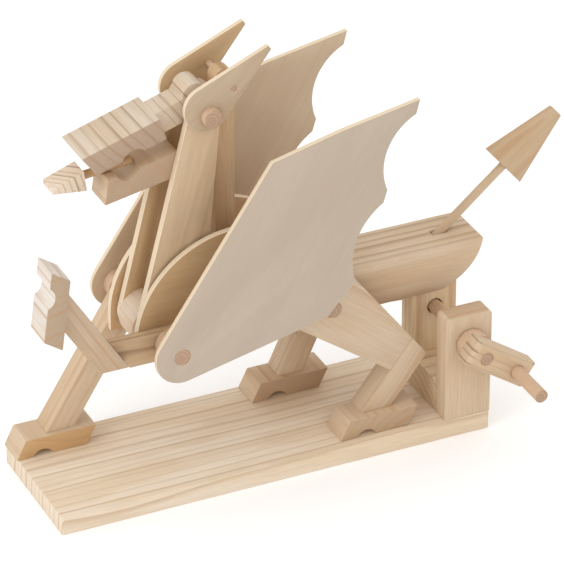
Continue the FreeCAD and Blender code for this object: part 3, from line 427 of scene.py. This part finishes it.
# how each piece of pine lies in its tree: pith is where the tree's heart lies across the grain
# and spacing a year's width, both in mm; late and sharp are how dark and thin the rings' lines are
PINE = {
    "base_board": dict(pith=(-330, -60), spacing=5.2, wander=4, late=0.85, sharp=4,
                       light=(0.82, 0.70, 0.56), dark=(0.54, 0.37, 0.22),
                       end_tint=(0.96, 0.94, 0.92)),
    "crank_post": dict(turn=UPRIGHT, pith=(-260, 120), spacing=6, late=0.3,
                       light=(0.69, 0.54, 0.39), end_tint=(0.80, 0.72, 0.64)),
    # main_post: paler than the other pine, which is painted light that lifts the shade under the
    # body
    "main_post": dict(turn=UPRIGHT, pith=(-140, 160), spacing=5, late=0.75,
                      light=(0.80, 0.65, 0.45)),
    # spacer_block: paler still, which is painted light that lifts the shade between the posts and
    # under the body
    "spacer_block": dict(pith=(20, -40), spacing=5, light=(0.86, 0.71, 0.50)),
    "body_bar": dict(pith=(-200, 60), spacing=7, wander=4, late=0.85, sharp=1.4,
                     light=(0.69, 0.54, 0.39), dark=(0.36, 0.23, 0.13)),
    "chest_rail": dict(pith=(-60, 80), spacing=5, wander=7, late=0.85,
                       light=(0.62, 0.45, 0.29), dark=(0.30, 0.17, 0.09)),
    "near_thigh": dict(turn=(0, 37, 0), pith=(-120, 90), spacing=6, late=0.5,
                       light=(0.67, 0.54, 0.41)),
    "far_thigh": dict(turn=(0, 24, 0), pith=(90, 10), spacing=5, late=0.5),
    "near_shin": dict(turn=(0, -53, 0), pith=(-90, -60), spacing=6, late=0.4,
                      light=(0.62, 0.48, 0.34)),
    "far_shin": dict(turn=(0, -65, 0), pith=(-20, -60), spacing=5, late=0.5),
    "near_rear_foot": dict(turn=CROSSWISE, pith=(-95, -12), spacing=5),
    "far_rear_foot": dict(turn=CROSSWISE, pith=(-45, 2), spacing=5, late=0.75,
                          end_tint=(0.66, 0.58, 0.52)),
    "far_front_foot": dict(turn=CROSSWISE, pith=(95, 90), spacing=9, late=0.4,
                           end_tint=(0.86, 0.70, 0.48), end_late=0.6),
    "raised_paw": dict(turn=CROSSWISE, pith=(105, 20), spacing=6.5, late=0.8, sharp=5,
                       light=(0.76, 0.70, 0.64), end_tint=(0.60, 0.48, 0.36)),
    "far_front_leg": dict(turn=(0, -58, 0), pith=(-90, -60), spacing=6),
    "raised_leg": dict(turn=(0, 58, 0), pith=(-60, 150), spacing=6, late=0.75, sharp=5,
                       light=(0.58, 0.45, 0.33)),
    "crank_arm": dict(turn=(0, 34.3, 0), pith=(-60, 260), spacing=4.6, wander=1, late=0.3,
                      sharp=5, dark=(0.22, 0.12, 0.06), end_tint=(0.94, 0.90, 0.86),
                      end_depth=3.4, end_late=1.0),
    "neck_hub": dict(turn=CROSSWISE, pith=(30, 60), spacing=4, late=0.15,
                     light=(0.74, 0.60, 0.47), end_tint=(0.95, 0.92, 0.90), end_late=0.2),
    "lower_jaw": dict(turn=CROSSWISE, pith=(190, 90), spacing=9, late=0.3,
                      end_tint=(0.70, 0.64, 0.60), end_late=0.35),
    "tongue_tip": dict(turn=(0, 0, 123), pith=(-300, 300), spacing=3.4, wander=1, late=1.0,
                       sharp=3, light=(0.80, 0.69, 0.58), dark=(0.38, 0.24, 0.15),
                       end_tint=(1.0, 1.0, 1.0)),
    "upper_jaw": dict(turn=CROSSWISE, pith=(219, 100), spacing=6.2, wander=2, late=0.95, sharp=5,
                      light=(0.68, 0.57, 0.45), dark=(0.36, 0.22, 0.13),
                      end_tint=(0.66, 0.56, 0.50)),
    "head_link": dict(turn=UPRIGHT, pith=(-90, 40), spacing=4, late=0.3,
                      light=(0.62, 0.44, 0.27)),
    "tail_barb": dict(turn=(0, -42, 0), pith=(-40, 10), spacing=5, late=0.7,
                      light=(0.58, 0.43, 0.28)),
}

PLYWOOD = {
    # cheeks: darker, warmer birch, which is painted shade from the wing and neck with a painted
    # warm cast of light bounced into that shade
    "cheek_near": dict(face=(0.56, 0.37, 0.20)),
    "cheek_far": dict(face=(0.56, 0.37, 0.20)),
    "wing_near": dict(turn=(0, -60, 0), face=(0.51, 0.42, 0.33), figure=0.04, contrast=0.45),
    "wing_far": dict(turn=(0, -60, 0), face=(0.60, 0.46, 0.32), figure=0.15, contrast=0.7),
    "neck_plate_near": dict(turn=(0, -77, 0), figure=0.45),
    "neck_plate_far": dict(turn=(0, -77, 0), face=(0.66, 0.46, 0.26), figure=0.45),
    "ear_near": dict(turn=(0, -40, 0), face=(0.51, 0.39, 0.27)),
    "ear_far": dict(turn=(0, -40, 0), face=(0.57, 0.40, 0.23)),
    "connecting_rod": dict(),
    "crank_disc": dict(),
}

THIN_RODS = {
    "tail_rod": dict(turn=(0, -40.3, 0), colour=(0.62, 0.47, 0.32)),
    "tongue_rod": dict(turn=(0, -7, 0), colour=(0.50, 0.31, 0.16)),
}


def wood_of(node):
    """The node's own material; what no table names is a dowel across the toy."""
    if node in PINE:
        return pine(node, **PINE[node])
    if node in PLYWOOD:
        return plywood(node, **PLYWOOD[node])
    if node in THIN_RODS:
        return beech(node, HIDDEN_ENDS, **THIN_RODS[node])
    return dowel(node)


# the pieces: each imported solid, merged, with its cut edges softened

def sanded(node):
    """Stands for the node: the same solid with its arrises sanded off, in its own wood."""
    source = frame["nodes"][node]
    piece = source.copy()
    piece.data = source.data.copy()
    piece.name = f"{node}_sanded"
    piece.data.name = piece.name
    for key in [key for key in piece.keys() if key.startswith("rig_")]:
        del piece[key]
    piece.parent = None
    bpy.context.scene.collection.objects.link(piece)
    bpy.ops.object.select_all(action="DESELECT")
    piece.select_set(True)
    bpy.context.view_layer.objects.active = piece
    if piece.data.has_custom_normals:
        bpy.ops.mesh.customdata_custom_splitnormals_clear()

    bpy.ops.object.mode_set(mode="EDIT")
    bpy.ops.mesh.select_all(action="SELECT")
    bpy.ops.mesh.remove_doubles(threshold=SAME_POINT)
    bpy.ops.mesh.dissolve_limited(angle_limit=FLAT_CORNER)
    bpy.ops.object.mode_set(mode="OBJECT")

    bevel = piece.modifiers.new("sanded", "BEVEL")
    bevel.width = (PINE_ARRIS if SLOT_OF[node] == "pine" else THIN_ARRIS) * MM
    bevel.segments = 2
    bevel.limit_method = "ANGLE"
    bevel.angle_limit = CUT_CORNER
    bevel.use_clamp_overlap = False
    bpy.ops.object.modifier_apply(modifier=bevel.name)
    bpy.ops.object.shade_smooth_by_angle(angle=ROUND_CORNER)

    piece.data.materials.clear()
    piece.data.materials.append(wood_of(node))
    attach(piece, BODY_OF[node])
    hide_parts(node)


for node in sorted(frame["nodes"]):
    sanded(node)


# floor, light and camera

def lay_floor():
    """A plain white floor that keeps the toy's shadow."""
    bpy.ops.object.select_all(action="DESELECT")
    bpy.ops.mesh.primitive_plane_add(size=FLOOR_WIDTH, location=(0, 0, 0))
    floor = bpy.context.active_object
    floor.name = "floor"
    material = bpy.data.materials.new("pale_floor")
    material.use_nodes = True
    tree = material.node_tree
    shader = tree.nodes["Principled BSDF"]
    shader.inputs["Base Color"].default_value = (FLOOR_WHITE, FLOOR_WHITE, FLOOR_WHITE, 1)
    shader.inputs["Roughness"].default_value = 0.9
    shader.inputs["Specular IOR Level"].default_value = 0.1
    shader.inputs["Emission Color"].default_value = (1, 1, 1, 1)
    paths = tree.nodes.new("ShaderNodeLightPath")
    glow = math_node(tree, "MULTIPLY", paths.outputs["Is Camera Ray"], FLOOR_GLOW)
    join(tree, glow, shader.inputs["Emission Strength"])
    floor.data.materials.append(material)


def light_room():
    """An even white light from all round."""
    world = bpy.data.worlds.new("studio")
    bpy.context.scene.world = world
    world.use_nodes = True
    background = world.node_tree.nodes["Background"]
    background.inputs["Color"].default_value = (1, 1, 1, 1)
    background.inputs["Strength"].default_value = 1.0


def hang_lamp(name, place, size, power):
    data = bpy.data.lights.new(name, "AREA")
    data.shape = "DISK"
    data.size = size
    data.energy = power
    lamp = bpy.data.objects.new(name, data)
    bpy.context.scene.collection.objects.link(lamp)
    lamp.location = place
    lamp.rotation_euler = (Vector(LIT_POINT) - Vector(place)).to_track_quat("-Z", "Y").to_euler()


def set_camera():
    data = bpy.data.cameras.new("camera")
    camera = bpy.data.objects.new("camera", data)
    bpy.context.scene.collection.objects.link(camera)
    bpy.context.scene.camera = camera
    data.sensor_width = CAMERA_SENSOR
    data.lens = CAMERA_LENS
    data.clip_end = 20.0
    camera.location = CAMERA_PLACE
    camera.rotation_euler = Vector(CAMERA_LOOK).to_track_quat("-Z", "Y").to_euler()


lay_floor()
light_room()
hang_lamp("key", (-2.0, -0.7, 1.3), size=1.3, power=12)
hang_lamp("front_fill", (0.2, -2.0, 0.9), size=1.5, power=2)
set_camera()

bpy.context.scene.view_settings.view_transform = "Standard"
